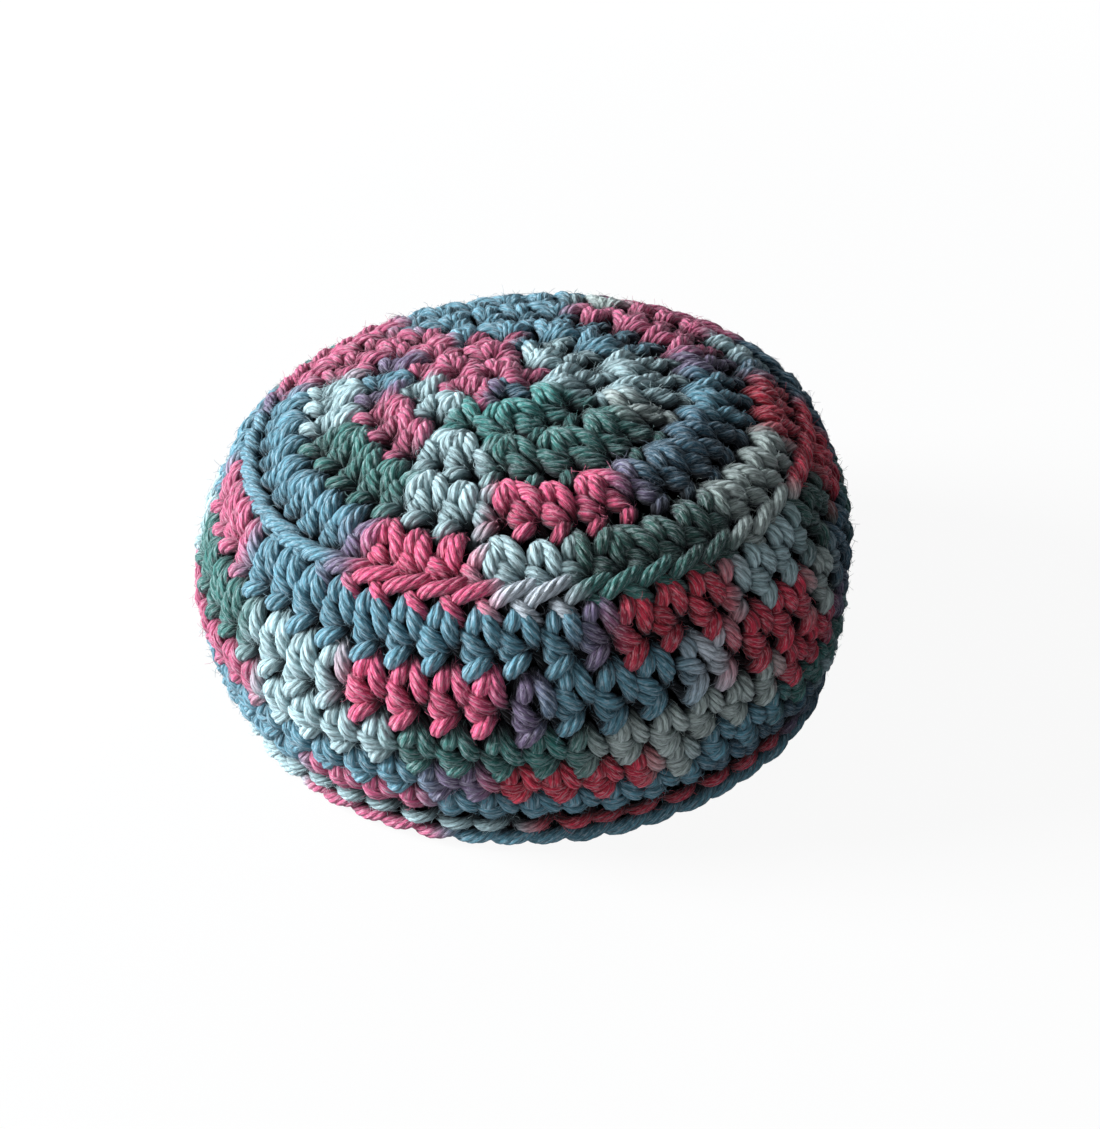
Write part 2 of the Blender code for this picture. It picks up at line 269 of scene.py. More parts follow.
def smooth_line(points, per_run):
    """Points of a Catmull-Rom curve through the given ones, per_run to each run between two of them."""
    points = np.asarray(points, float)
    ends = np.vstack([2 * points[0] - points[1], points, 2 * points[-1] - points[-2]])
    a, b, c, d = (ends[k : len(ends) - 3 + k, None, :] for k in range(4))
    t = np.linspace(0, 1, per_run, endpoint=False)[None, :, None]
    run = 0.5 * (2 * b + (c - a) * t + (2 * a - 5 * b + 4 * c - d) * t**2 + (3 * b - a - 3 * c + d) * t**3)
    return np.vstack([run.reshape(-1, points.shape[1]), points[-1:]])


def leaned(points):
    """Points in mm, moved sideways with the bag's lean and, on top, towards the spiral's start."""
    points = np.array(points, float)
    radius = np.hypot(points[..., 0], points[..., 1])
    share = np.clip(1 - (radius / SPIRAL_REACH) ** 2, 0, 1) ** 2 * (points[..., 2] > TOP_ABOVE)
    points[..., 0] += np.interp(points[..., 2], LEAN_HEIGHTS, LEANS) + share * SPIRAL_SHIFT[0]
    points[..., 1] += share * SPIRAL_SHIFT[1]
    return points


class Cover:
    """The cover's middle surface: a place on it is a distance along the profile and a turn."""

    def __init__(self):
        self.line = smooth_line(PROFILE, PROFILE_STEPS)
        steps = np.linalg.norm(np.diff(self.line, axis=0), axis=1)
        self.along = np.concatenate([[0.0], np.cumsum(steps)])
        slope = np.gradient(self.line, self.along, axis=0)
        slope /= np.linalg.norm(slope, axis=1)[:, None]
        self.normal = np.stack([-slope[:, 1], slope[:, 0]], 1)

    def nearest(self, place):
        """Distance along the profile where it comes nearest to a (radius, height) in mm."""
        return self.along[np.linalg.norm(self.line - np.array(place), axis=1).argmin()]

    def at(self, along, turn, out):
        """Points in mm and outward directions, for turns in radians."""
        r, z, nr, nz = (np.interp(along, self.along, v) for v in (*self.line.T, *self.normal.T))
        r, z = r + nr * out, z + nz * out
        across = np.stack([np.sin(turn), -np.cos(turn)], -1)
        points = np.concatenate([across * r[..., None], z[..., None]], -1)
        return leaned(points), np.concatenate([across * nr[..., None], nz[..., None]], -1)


cover = Cover()


def linear(colour):
    """An sRGB colour in linear light."""
    c = np.asarray(colour, float)
    return np.where(c <= 0.04045, c / 12.92, ((c + 0.055) / 1.055) ** 2.4)


def half_turn(degrees):
    """The same direction as a turn from -180 to 180 degrees."""
    return (degrees + 180) % 360 - 180


def dye_at(name, turn):
    """Colour of a round's yarn at turns in radians, running from one dye into the next."""
    runs = DYE_RUNS[name]
    stops, colours = [], []
    for k, (start, dye) in enumerate(runs):
        end = runs[k + 1][0] if k + 1 < len(runs) else 180
        soft = min(BLEND_TURN, (end - start) / 3)
        stops += [start + soft, end - soft]
        colours += [linear(DYES[dye])] * 2
    stops = [stops[-1] - 360] + stops + [stops[0] + 360]
    colours = np.array([colours[-1]] + colours + [colours[0]])
    degrees = half_turn(np.degrees(turn))
    return np.stack([np.interp(degrees, stops, colours[:, k]) for k in range(3)], -1)


# Meshes of yarn

# A quad's corners as steps along and round a tube, the caps' place in the flat map, and a direction that no
# tube starts in
CORNERS = ((0, 0), (0, 1), (1, 1), (1, 0))
CAP_AT = 0.001
ASLANT = (0.31, 0.52, 0.79)


def transported(lines):
    """Crossways directions along many lines (line, point, axis) that don't turn about them."""
    tangents = np.gradient(lines, axis=1)
    tangents /= np.linalg.norm(tangents, axis=2)[:, :, None]
    side = np.cross(tangents[:, 0], np.array(ASLANT))
    sides = np.empty_like(lines)
    for i in range(lines.shape[1]):
        side = side - tangents[:, i] * (tangents[:, i] * side).sum(1)[:, None]
        side = side / np.linalg.norm(side, axis=1)[:, None]
        sides[:, i] = side
    return sides, np.cross(tangents, sides)


def tube_mesh(name, lines, radii, colours, sides, plies=0, blocks=1, columns=None, cover_at=None):
    """A mesh of tubes along lines (line, point, axis) in mm. Each tube is cut into blocks for the flat map
    OFBake, where the blocks stand side by side. The map yarn has the way round and the mm along. With
    cover_at, the heights above the cover and its outward directions, painted shade and painted light by
    the tube's depth go into its colour, and the painted shade's factor into the colour's alpha."""
    count, points = lines.shape[:2]
    u_side, v_side = transported(lines)
    steps = np.linalg.norm(np.diff(lines, axis=1), axis=2)
    along = np.concatenate([np.zeros((count, 1)), np.cumsum(steps, axis=1)], 1)
    around = np.arange(sides) / sides
    angle = 2 * np.pi * (around[None, None, :] + along[:, :, None] / PLY_LAY)
    bulge = 1 - PLY_DEPTH * (1 - np.abs(np.cos(np.pi * plies * around))) if plies else np.ones(sides)
    reach = radii[:, :, None] * bulge[None, None, :]
    offset = u_side[:, :, None, :] * np.cos(angle)[..., None]
    offset += v_side[:, :, None, :] * np.sin(angle)[..., None]
    verts = (lines[:, :, None, :] + offset * reach[..., None]).reshape(-1, 3)
    rgba = np.ones((count, points, sides, 4), np.float32)
    rgba[..., :3] = colours[:, :, None, :]
    if cover_at:
        heights, normals = cover_at
        height = heights[:, :, None] + (offset * normals[:, :, None, :]).sum(-1) * reach
        # Painted shade deep in the work and painted light on the highest yarn, more saturated where darker,
        # are multiplied into the dye; the alpha keeps the painted shade's factor
        rgba[..., 3] = np.interp(height, SHADE_HEIGHTS, SHADES)
        rgba[..., :3] **= 1 + SHADE_SATURATION * (1 - np.minimum(rgba[..., 3:], 1))
        rgba[..., :3] *= rgba[..., 3:]

    line, ring, side = np.meshgrid(np.arange(count), np.arange(points - 1), np.arange(sides), indexing="ij")
    line, ring, side = line.ravel(), ring.ravel(), side.ravel()
    quads = np.stack([(line * points + ring + dr) * sides + (side + ds) % sides for dr, ds in CORNERS], 1)
    first = np.arange(count)[:, None] * points * sides
    caps = np.concatenate([first + np.arange(sides)[::-1], first + (points - 1) * sides + np.arange(sides)])

    per_block = math.ceil((points - 1) / blocks)
    cell = line * blocks + ring // per_block
    columns = columns or count * blocks
    rows = math.ceil(count * blocks / columns)
    flat, yarn = np.empty((len(quads), 4, 2)), np.empty((len(quads), 4, 2))
    for k, (dr, ds) in enumerate(CORNERS):
        u = MAP_SIDE + (1 - 2 * MAP_SIDE) * (side + ds) / sides
        v = MAP_END + (1 - 2 * MAP_END) * (ring % per_block + dr) / per_block
        flat[:, k, 0] = (cell % columns + u) / columns
        flat[:, k, 1] = (cell // columns + v) / rows
        yarn[:, k, 0] = (side + ds) / sides
        yarn[:, k, 1] = along[line, ring + dr]

    mesh = bpy.data.meshes.new(name)
    loops = np.concatenate([quads.ravel(), caps.ravel()])
    totals = np.concatenate([np.full(len(quads), 4), np.full(len(caps), sides)])
    starts = np.concatenate([[0], np.cumsum(totals)[:-1]])
    mesh.vertices.add(len(verts))
    mesh.vertices.foreach_set("co", (verts * MM).astype(np.float32).ravel())
    mesh.loops.add(len(loops))
    mesh.loops.foreach_set("vertex_index", loops.astype(np.int32))
    mesh.polygons.add(len(totals))
    mesh.polygons.foreach_set("loop_start", starts.astype(np.int32))
    mesh.update(calc_edges=True)
    mesh.shade_smooth()
    for label, uv, cap in (("OFBake", flat, CAP_AT), ("yarn", yarn, 0.0)):
        layer = mesh.uv_layers.new(name=label)
        rows_of_uv = np.concatenate([uv.reshape(-1, 2), np.full((caps.size, 2), cap)])
        layer.data.foreach_set("uv", rows_of_uv.astype(np.float32).ravel())
    # The colour attribute dye carries the dye with painted shade and light, and the painted shade's factor
    # in alpha
    dye = mesh.color_attributes.new("dye", "FLOAT_COLOR", "POINT")
    dye.data.foreach_set("color", rgba.ravel())
    return mesh


def placed(name, mesh, nodes, material):
    """A piece of the scene with this mesh, which stands for solids and has their slot."""
    mesh.materials.append(material)
    piece = bpy.data.objects.new(name, mesh)
    bpy.context.scene.collection.objects.link(piece)
    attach(piece, "root")
    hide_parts(*nodes)
    return piece


def settle(mesh):
    """Presses what lies under the floor's level flat onto it."""
    co = np.empty(len(mesh.vertices) * 3, np.float32)
    mesh.vertices.foreach_get("co", co)
    z = co[2::3] / MM
    pressed = FLOOR_SOFT * np.exp((np.minimum(z, FLOOR_SOFT) - FLOOR_SOFT) / FLOOR_SOFT)
    co[2::3] = np.where(z > FLOOR_SOFT, z, pressed) * MM
    mesh.vertices.foreach_set("co", co)
    mesh.update()


def resampled(values, depth):
    """Rows of values (first three: a point in mm) at even steps along the line, wider where it is hidden."""
    steps = np.linalg.norm(np.diff(values[:, :3], axis=0), axis=1)
    wanted = np.where(depth[1:] < HIDDEN_DEPTH, HIDDEN_STEP, RING_STEP)
    share = np.concatenate([[0.0], np.cumsum(steps / wanted)])
    at = np.linspace(0, share[-1], int(share[-1]) + 1)
    return np.stack([np.interp(at, share, v) for v in values.T], 1)


# For the fibres: each yarn's line, radii, heights, normals and colours
yarn_lines = []


def yarn_piece(name, controls, node, material, above_floor=False):
    """One yarn through control points of (mm along the profile, turn, mm out, thickness)."""
    curve = smooth_line(controls, CURVE_STEPS)
    points, normals = cover.at(curve[:, 0], curve[:, 1], curve[:, 2])
    knots = np.arange(0, len(curve), TONE_RUN)
    tone = 1 + TONE_SPREAD * np.interp(np.arange(len(curve)), knots, rng.normal(0, 1, len(knots)))
    rows = np.column_stack([points, curve[:, 1], curve[:, 3], curve[:, 2], normals, tone])
    rows = resampled(rows, curve[:, 2])
    line, normals = rows[:, :3], rows[:, 6:9]
    turn, thick, height, tone = rows[:, 3], rows[:, 4], rows[:, 5], rows[:, 9:]
    colours = dye_at(name, turn) * tone
    radii = YARN_RADIUS * thick
    blocks = max(1, round(math.sqrt(len(line) * RING_STEP / (2 * math.pi * YARN_RADIUS))))
    mesh = tube_mesh("yarn_" + name, line[None], radii[None], colours[None], YARN_SIDES, plies=PLIES,
                     blocks=blocks, cover_at=(height[None], normals[None]))
    if above_floor:
        settle(mesh)
    placed("yarn_" + name, mesh, [node], material)
    yarn_lines.append((line, radii, height, normals, colours))


# Crochet


def jittered(controls, along_mm, turn_mm, out_mm):
    """Control points moved a little, more alike within one stitch than between stitches."""
    controls = np.array(controls, float)
    spread = rng.normal(0, 1, (len(controls), 4))
    spread = (spread + np.roll(spread, 1, 0) + np.roll(spread, -1, 0)) / SPREAD_OF_THREE
    reach = np.maximum(np.interp(controls[:, 0], cover.along, cover.line[:, 0]), LEAST_REACH)
    controls[:, 0] += spread[:, 0] * along_mm
    controls[:, 1] += spread[:, 1] * turn_mm / reach
    controls[:, 2] += spread[:, 2] * out_mm
    controls[:, 3] *= 1 + THICKNESS_JITTER * spread[:, 3]
    return controls


def nearest_hole(turn, start, pitch):
    """Turn of the hole that is nearest to a turn, in a round with this start and pitch."""
    first = start + (HOLE + SHIFT) * pitch
    return first - round((first - turn) / pitch) * pitch


def crochet(rounds, materials):
    """Works every round, each stitch's legs coming out of a hole of the round before."""
    before = None
    spots = [cover.nearest(work.place) for work in rounds]
    for index, work in enumerate(rounds):
        spot = spots[index]
        pitch = 2 * math.pi / work.count
        following = spots[index + 1] if index + 1 < len(rounds) else cover.along[-1]
        fall = work.fall or following - spot
        if work.phase is not None:
            start = work.phase * pitch
        else:
            start = (before[0] if before else 0.0) + SHIFT * pitch
        path = STITCH + (DROP if work.drops else ()) + STITCH_END
        controls = []
        for stitch in range(work.count):
            lean, lift = rng.normal(0, STITCH_LEAN), rng.normal(0, STITCH_LIFT)
            hole_turn = start + (HOLE - stitch) * pitch
            if before:
                hole_turn = nearest_hole(hole_turn, *before)
            for step, (x, y, out, thick) in enumerate(path):
                turn = start + (x - stitch + lean * (1 - abs(y))) * pitch
                if work.node == "top_panel" and step >= len(STITCH):
                    out -= np.interp(half_turn(math.degrees(turn)), *np.transpose(TOP_DROPS_SUNK))
                if y < 0:
                    share = min(-y / LEG_REACH, 1.0)
                    share = share * share * (3 - 2 * share)
                    turn += share * (hole_turn + (x - HOLE) * LEG_SPREAD * pitch - turn)
                elif out > 0:
                    out -= work.flat
                controls.append((spot + (y + lift) * (work.rise if y < 0 else fall), turn, out, thick))
        controls = jittered(controls, *STITCH_JITTER)
        yarn_piece(work.name, controls, work.node, materials[work.slot],
                   above_floor=work.node == "base_panel")
        before = (start, pitch)


def looped(name, place, phase, loop, node, slot, material, above_floor=False, slants=FULL_SLANTS):
    """A row of one repeated loop, such as the ridge. Where it slants less, it is lower and flatter."""
    spot = cover.nearest(place)
    pitch = 2 * math.pi / EDGE_COUNT
    controls = []
    for stitch in range(EDGE_COUNT):
        lean, lift = rng.normal(0, LOOP_LEAN), rng.normal(0, LOOP_LIFT)
        slant = np.interp(half_turn(math.degrees((phase - stitch) * pitch)), *np.transpose(slants))
        even = max(1 - slant, 0)
        for x, down, out, thick in loop:
            if out > LOOP_SEEN_OUT:
                evened = LOOP_EVENED * (LOOP_EVEN_OUT - out)
                out += even * (LOOP_SUNK if down > LOOP_UNDERSIDE else evened)
            controls.append((spot + down * slant + lift, (x + phase - stitch + lean) * pitch, out, thick))
    controls = jittered(controls, *LOOP_JITTER)
    yarn_piece(name, controls, node, material, above_floor)


# Materials


def node_of(tree, kind, inputs=None, **settings):
    """A new shader node, with its inputs linked to sockets or set to values."""
    made = tree.nodes.new(kind)
    for key, value in settings.items():
        setattr(made, key, value)
    for key, value in (inputs or {}).items():
        if isinstance(value, bpy.types.NodeSocket):
            tree.links.new(value, made.inputs[key])
        else:
            made.inputs[key].default_value = value
    return made


def maths(tree, operation, a, b=0.0):
    return node_of(tree, "ShaderNodeMath", {0: a, 1: b}, operation=operation).outputs[0]


def ranged(tree, value, low, high, to_low, to_high):
    """A value taken smoothly from one range to another."""
    inputs = {"Value": value, "From Min": low, "From Max": high, "To Min": to_low, "To Max": to_high}
    return node_of(tree, "ShaderNodeMapRange", inputs, interpolation_type="SMOOTHSTEP").outputs[0]


def mixed(tree, share, a, b, blend="MIX"):
    """A mix of two colours. Sockets 6 and 7 are the node's colours."""
    inputs = {0: share, 6: a, 7: b}
    return node_of(tree, "ShaderNodeMix", inputs, data_type="RGBA", blend_type=blend).outputs[2]


def greyed(tree, value):
    """A grey of this brightness."""
    return node_of(tree, "ShaderNodeCombineXYZ", {0: value, 1: value, 2: value}).outputs[0]


def noise_of(tree, place, scale, **settings):
    inputs = {"Vector": place, "Scale": scale, **settings}
    return node_of(tree, "ShaderNodeTexNoise", inputs).outputs["Fac"]


def bumped(tree, surface, height, strength, distance):
    bump = node_of(tree, "ShaderNodeBump", {"Strength": strength, "Distance": distance, "Height": height})
    tree.links.new(bump.outputs["Normal"], surface.inputs["Normal"])


def blank(name):
    """A new material, with its node tree and its surface shader."""
    made = bpy.data.materials.new(name)
    made.use_nodes = True
    return made, made.node_tree, made.node_tree.nodes["Principled BSDF"]


# How narrow the grooves between the plies are, for the bump and their painted shade, and from where on
# the crowns have their full painted highlight
CROWN_POWER = 2.2
CROWN_FULL = 0.9
# Shares of the dye: from the painted shade in the grooves to the painted highlight on the crowns, and from
# between the fibres to their tops: partly random tone of the fibres, partly painted shade and highlight
GROOVE_SHADES = (0.68, 1.04)
FIBRE_SHADES = (0.58, 1.18)
# The fibres' two noises as (per mm across, per mm along, offset), their range, and their lean
FIBRE_NOISES = ((5.0, 1.0, 0.0), (9.5, 2.2, 7.0))
FIBRE_RANGE = (0.39, 0.61)
FIBRE_LEAN = 0.3
FIBRE_DETAIL, FIBRE_ROUGHNESS = 3.0, 0.6
# The middle range of a noise, for the roughness of surfaces
NOISE_RANGE = (0.3, 0.7)
# Painted glints on the brightest fibres: towards this pale colour by this share, over this range of the
# noise and up to this much, times the painted shade's factor
GLINT_TINT, GLINT_TINT_SHARE = (0.80, 0.84, 0.88, 1), 0.42
GLINT_RANGE, GLINT_MOST = (0.48, 0.66), 0.72
# The bump's strength and depth in metres, and the parts of plies and fibres in it
YARN_BUMP, YARN_BUMP_DEPTH = 0.9, 0.00032
PLY_BUMP, FIBRE_BUMP = 0.5, 1.3
YARN_SPECULAR = 0.45
NAP_WEIGHT, NAP_ROUGHNESS, NAP_TINT = 0.28, 0.4, (0.8, 0.88, 1.0, 1)


def yarn_material(name, seed):
    """Plied, dyed cotton: painted shade in the grooves between the plies, fine fibres along them with
    painted shade and painted glints, a soft nap.
    """
    made, tree, surface = blank(name)
    # The colour attribute dye holds the dye with painted shade and light in it, and its alpha, here depth,
    # is the painted shade's factor
    dye_with_painted_shade = node_of(tree, "ShaderNodeAttribute", attribute_name="dye")
    dye, depth = dye_with_painted_shade.outputs["Color"], dye_with_painted_shade.outputs["Alpha"]
    uv = node_of(tree, "ShaderNodeUVMap", uv_map="yarn").outputs["UV"]
    parts = node_of(tree, "ShaderNodeSeparateXYZ", {0: uv})
    around, along = parts.outputs["X"], parts.outputs["Y"]
    ply = maths(tree, "FRACT", maths(tree, "MULTIPLY", around, float(PLIES)))
    groove_at = maths(tree, "MULTIPLY", maths(tree, "ABSOLUTE", maths(tree, "SUBTRACT", ply, 0.5)), 2.0)
    hollow = maths(tree, "POWER", maths(tree, "SUBTRACT", 1.0, groove_at), CROWN_POWER)
    crown = maths(tree, "SUBTRACT", 1.0, hollow)

    circle = maths(tree, "MULTIPLY", around, 2 * math.pi)
    turn = maths(tree, "SUBTRACT", circle, maths(tree, "MULTIPLY", along, FIBRE_LEAN))
    fibres = []
    for across, length, offset in FIBRE_NOISES:
        place = node_of(tree, "ShaderNodeCombineXYZ", {
            0: maths(tree, "MULTIPLY", maths(tree, "COSINE", turn), across * YARN_RADIUS),
            1: maths(tree, "MULTIPLY", maths(tree, "SINE", turn), across * YARN_RADIUS),
            2: maths(tree, "ADD", maths(tree, "MULTIPLY", along, length), seed + offset),
        }).outputs[0]
        fibres.append(noise_of(tree, place, 1.0, Detail=FIBRE_DETAIL, Roughness=FIBRE_ROUGHNESS))
    streak = maths(tree, "ADD", *[maths(tree, "MULTIPLY", fibre, 0.5) for fibre in fibres])

    # Painted shade in the grooves between the plies and a painted highlight on their crowns
    painted_groove_shade = ranged(tree, crown, 0.0, CROWN_FULL, *GROOVE_SHADES)
    # Fibre streaks: partly random tone, partly painted shade between the fibres and a painted highlight on
    # them
    thread = ranged(tree, streak, *FIBRE_RANGE, *FIBRE_SHADES)
    dark = mixed(tree, 1.0, dye, greyed(tree, maths(tree, "MULTIPLY", painted_groove_shade, thread)), "MULTIPLY")
    # Painted glints: the brightest fibres mixed towards a pale tint, more where the painted light is strong
    glint_tint = mixed(tree, GLINT_TINT_SHARE, dye, GLINT_TINT)
    glint = maths(tree, "MULTIPLY", ranged(tree, fibres[1], *GLINT_RANGE, 0.0, GLINT_MOST), depth)
    tree.links.new(mixed(tree, glint, dark, glint_tint), surface.inputs["Base Color"])
    tree.links.new(ranged(tree, streak, *NOISE_RANGE, 0.72, 0.92), surface.inputs["Roughness"])
    plies, threads = maths(tree, "MULTIPLY", crown, PLY_BUMP), maths(tree, "MULTIPLY", streak, FIBRE_BUMP)
    bumped(tree, surface, maths(tree, "ADD", plies, threads), YARN_BUMP, YARN_BUMP_DEPTH)
    surface.inputs["Specular IOR Level"].default_value = YARN_SPECULAR
    surface.inputs["Sheen Weight"].default_value = NAP_WEIGHT
    surface.inputs["Sheen Roughness"].default_value = NAP_ROUGHNESS
    surface.inputs["Sheen Tint"].default_value = NAP_TINT
    return made


def fibre_material():
    """Dyed fibres and thread that vary a little in brightness."""
    made, tree, surface = blank("yarn_fibre")
    dye = node_of(tree, "ShaderNodeAttribute", attribute_name="dye").outputs["Color"]
    uv = node_of(tree, "ShaderNodeUVMap", uv_map="yarn").outputs["UV"]
    bright = ranged(tree, noise_of(tree, uv, 3.0), *NOISE_RANGE, 0.8, 1.15)
    tint = mixed(tree, 1.0, dye, greyed(tree, bright), "MULTIPLY")
    tree.links.new(tint, surface.inputs["Base Color"])
    surface.inputs["Roughness"].default_value = 0.7
    return made


# Pitch of the lining's weave in mm, its colour, and how dark and how strong its shading is
WEAVE_PITCH = 0.45
LINING_COLOUR = (0.035, 0.038, 0.045)
CLOTH_DARK, CLOTH_SHADING = 0.3, 0.6


def cloth_material(name, colour):
    """Plain dark woven cloth."""
    made, tree, surface = blank(name)
    uv = node_of(tree, "ShaderNodeUVMap", uv_map="cloth").outputs["UV"]
    parts = node_of(tree, "ShaderNodeSeparateXYZ", {0: uv})
    waves = []
    for axis in ("X", "Y"):
        wave = maths(tree, "SINE", maths(tree, "MULTIPLY", parts.outputs[axis], 2 * math.pi / WEAVE_PITCH))
        waves.append(maths(tree, "ABSOLUTE", wave))
    weave = maths(tree, "MULTIPLY", *waves)
    mottling = maths(tree, "MULTIPLY", noise_of(tree, uv, 1.4, Detail=4.0), 0.5)
    shade = maths(tree, "ADD", ranged(tree, weave, 0.0, 1.0, 0.5, 1.1), mottling)
    dim = (*[c * CLOTH_DARK for c in colour], 1)
    tint = mixed(tree, maths(tree, "MULTIPLY", shade, CLOTH_SHADING), dim, (*colour, 1))
    tree.links.new(tint, surface.inputs["Base Color"])
    tree.links.new(ranged(tree, weave, 0.0, 1.0, 0.95, 0.8), surface.inputs["Roughness"])
    bumped(tree, surface, shade, 0.6, 0.0001)
    return made


PELLET_DARK, PELLET_LIGHT = (0.66, 0.64, 0.58, 1), (0.82, 0.81, 0.77, 1)


def pellet_material():
    """Satin plastic, a little mottled."""
    made, tree, surface = blank("pellet_plastic")
    place = node_of(tree, "ShaderNodeTexCoord").outputs["Object"]
    noise = noise_of(tree, place, 600.0, Detail=3.0)
    tree.links.new(mixed(tree, noise, PELLET_DARK, PELLET_LIGHT), surface.inputs["Base Color"])
    tree.links.new(ranged(tree, noise, *NOISE_RANGE, 0.35, 0.55), surface.inputs["Roughness"])
    bumped(tree, surface, noise, 0.2, 0.0001)
    return made


# Lining and filling

# The lining's outer side above the cover's middle surface, its thickness, the height at which its halves
# meet, and how far each ends from there, in mm
LINING_DEPTH = -2.15
LINING_THICK = 0.5
LINING_SPLIT, LINING_GAP = 13.2, 0.15
# Its sides, the steps of the profile to one ring, its least radius, and the mm of weave round it
LINING_SIDES = 128
LINING_STRIDE = 8
LINING_MIDDLE = 0.02
WEAVE_AROUND = 170.0


def lining_shell(name, upper):
    """Half of the lining pouch, as a closed thin shell with a map in mm for its weave."""
    rows = cover.line + cover.normal * LINING_DEPTH
    inner = cover.line + cover.normal * (LINING_DEPTH - LINING_THICK)
    above, below = rows[:, 1] > LINING_SPLIT + LINING_GAP, rows[:, 1] < LINING_SPLIT - LINING_GAP
    keep = (above if upper else below) & (rows[:, 0] >= 0)
    outer_line, inner_line = rows[keep][::LINING_STRIDE], inner[keep][::LINING_STRIDE]
    inner_line[:, 0] = np.maximum(inner_line[:, 0], 0)
    line = np.vstack([outer_line, inner_line[::-1]])
    along = np.concatenate([[0], np.cumsum(np.linalg.norm(np.diff(line, axis=0), axis=1))])
    turn = 2 * np.pi * np.arange(LINING_SIDES) / LINING_SIDES
    radius = np.maximum(line[:, 0], LINING_MIDDLE)
    heights = np.repeat(line[:, 1:2], LINING_SIDES, 1)
    verts = np.stack([radius[:, None] * np.sin(turn), -radius[:, None] * np.cos(turn), heights], -1)
    verts = verts.reshape(-1, 3)
    verts[:, 0] += np.interp(verts[:, 2], LEAN_HEIGHTS, LEANS)
    verts *= MM
    count = len(line)
    ring, side = np.meshgrid(np.arange(count), np.arange(LINING_SIDES), indexing="ij")
    ring, side = ring.ravel(), side.ravel()
    quads, flat, cloth = [], [], []
    for dr, ds in ((0, 0), (1, 0), (1, 1), (0, 1)):
        quads.append((ring + dr) % count * LINING_SIDES + (side + ds) % LINING_SIDES)
        u, v = (side + ds) / LINING_SIDES, (ring + dr) / count
        flat.append(np.stack([MAP_END + (1 - 2 * MAP_END) * share for share in (u, v)], 1))
        cloth.append(np.stack([u * WEAVE_AROUND, along[np.minimum(ring + dr, count - 1)]], 1))
    mesh = bpy.data.meshes.new(name)
    mesh.from_pydata(verts.tolist(), [], np.stack(quads, 1).tolist())
    mesh.shade_smooth()
    for label, uv in (("OFBake", flat), ("cloth", cloth)):
        layer = mesh.uv_layers.new(name=label)
        layer.data.foreach_set("uv", np.stack(uv, 1).astype(np.float32).ravel())
    return mesh


# Pellets, in mm: from one to the next, radius, room to the lining, and how far each is out of place
PELLET_SPACING = 3.5
PELLET_RADIUS = 1.62
PELLET_SLACK = 0.15
PELLET_JITTER = 0.05
# Their proportions, and the smallest size as a share
PELLET_FORM = (0.9, 1.0, 0.84)
PELLET_LEAST = 0.92
# Rows tried to each side of the middle, and the mm round a layer's height over which its wall is sought
PELLET_ROWS = 10
LAYER_REACH = 0.6


def pellet_mesh():
    """Pellets packed in layers inside the lining, each turned its own way."""
    wall = cover.line + cover.normal * (LINING_DEPTH - LINING_THICK - PELLET_SLACK - PELLET_RADIUS)
    seed = bmesh.new()
    bmesh.ops.create_icosphere(seed, subdivisions=1, radius=1.0)
    seed.verts.ensure_lookup_table()
    shape = np.array([v.co for v in seed.verts])
    faces = np.array([[v.index for v in f.verts] for f in seed.faces])
    seed.free()
    verts, polys = [], []
    layer_rise = PELLET_SPACING * math.sqrt(2 / 3)
    low, high = wall[wall[:, 0] > 0][:, 1].min(), wall[:, 1].max()
    for layer in range(int((high - low) / layer_rise) + 1):
        z = low + layer * layer_rise
        near = wall[np.abs(wall[:, 1] - z) < LAYER_REACH]
        widest = near[:, 0].max() if len(near) else -1.0
        for row in range(-PELLET_ROWS, PELLET_ROWS + 1):
            for column in range(-PELLET_ROWS, PELLET_ROWS + 1):
                x = (column + 0.5 * (row % 2) + 0.5 * (layer % 2)) * PELLET_SPACING
                y = (row + (layer % 2) / 3) * PELLET_SPACING * math.sqrt(3) / 2
                if math.hypot(x, y) > widest:
                    continue
                jitter = rng.normal(0, PELLET_JITTER, 3)
                size = PELLET_RADIUS * np.array(PELLET_FORM) * rng.uniform(PELLET_LEAST, 1.0)
                turn = np.array(Matrix.Rotation(rng.uniform(0, math.pi), 3, Vector(rng.normal(0, 1, 3))))
                polys.append(faces + len(verts) * len(shape))
                verts.append((shape * size) @ turn.T + np.array([x, y, z]) + jitter)
    mesh = bpy.data.meshes.new("pellets")
    mesh.from_pydata((np.vstack(verts) * MM).tolist(), [], np.vstack(polys).tolist())
    mesh.shade_smooth()
    return mesh


# The lining's sewing: winds round the edge, points to each, and in mm how far inside the cloth it is, the
# radius of its winds and its own
THREAD_WINDS, WIND_POINTS = 110, 10
THREAD_INSET, WIND_RADIUS, THREAD_RADIUS = 0.5, 0.34, 0.12
THREAD_SIDES, THREAD_BLOCKS = 6, 12
THREAD_COLOUR = (0.13, 0.13, 0.15)
# Points of the profile that bound the wall
WALL_POINTS = (10, 20)


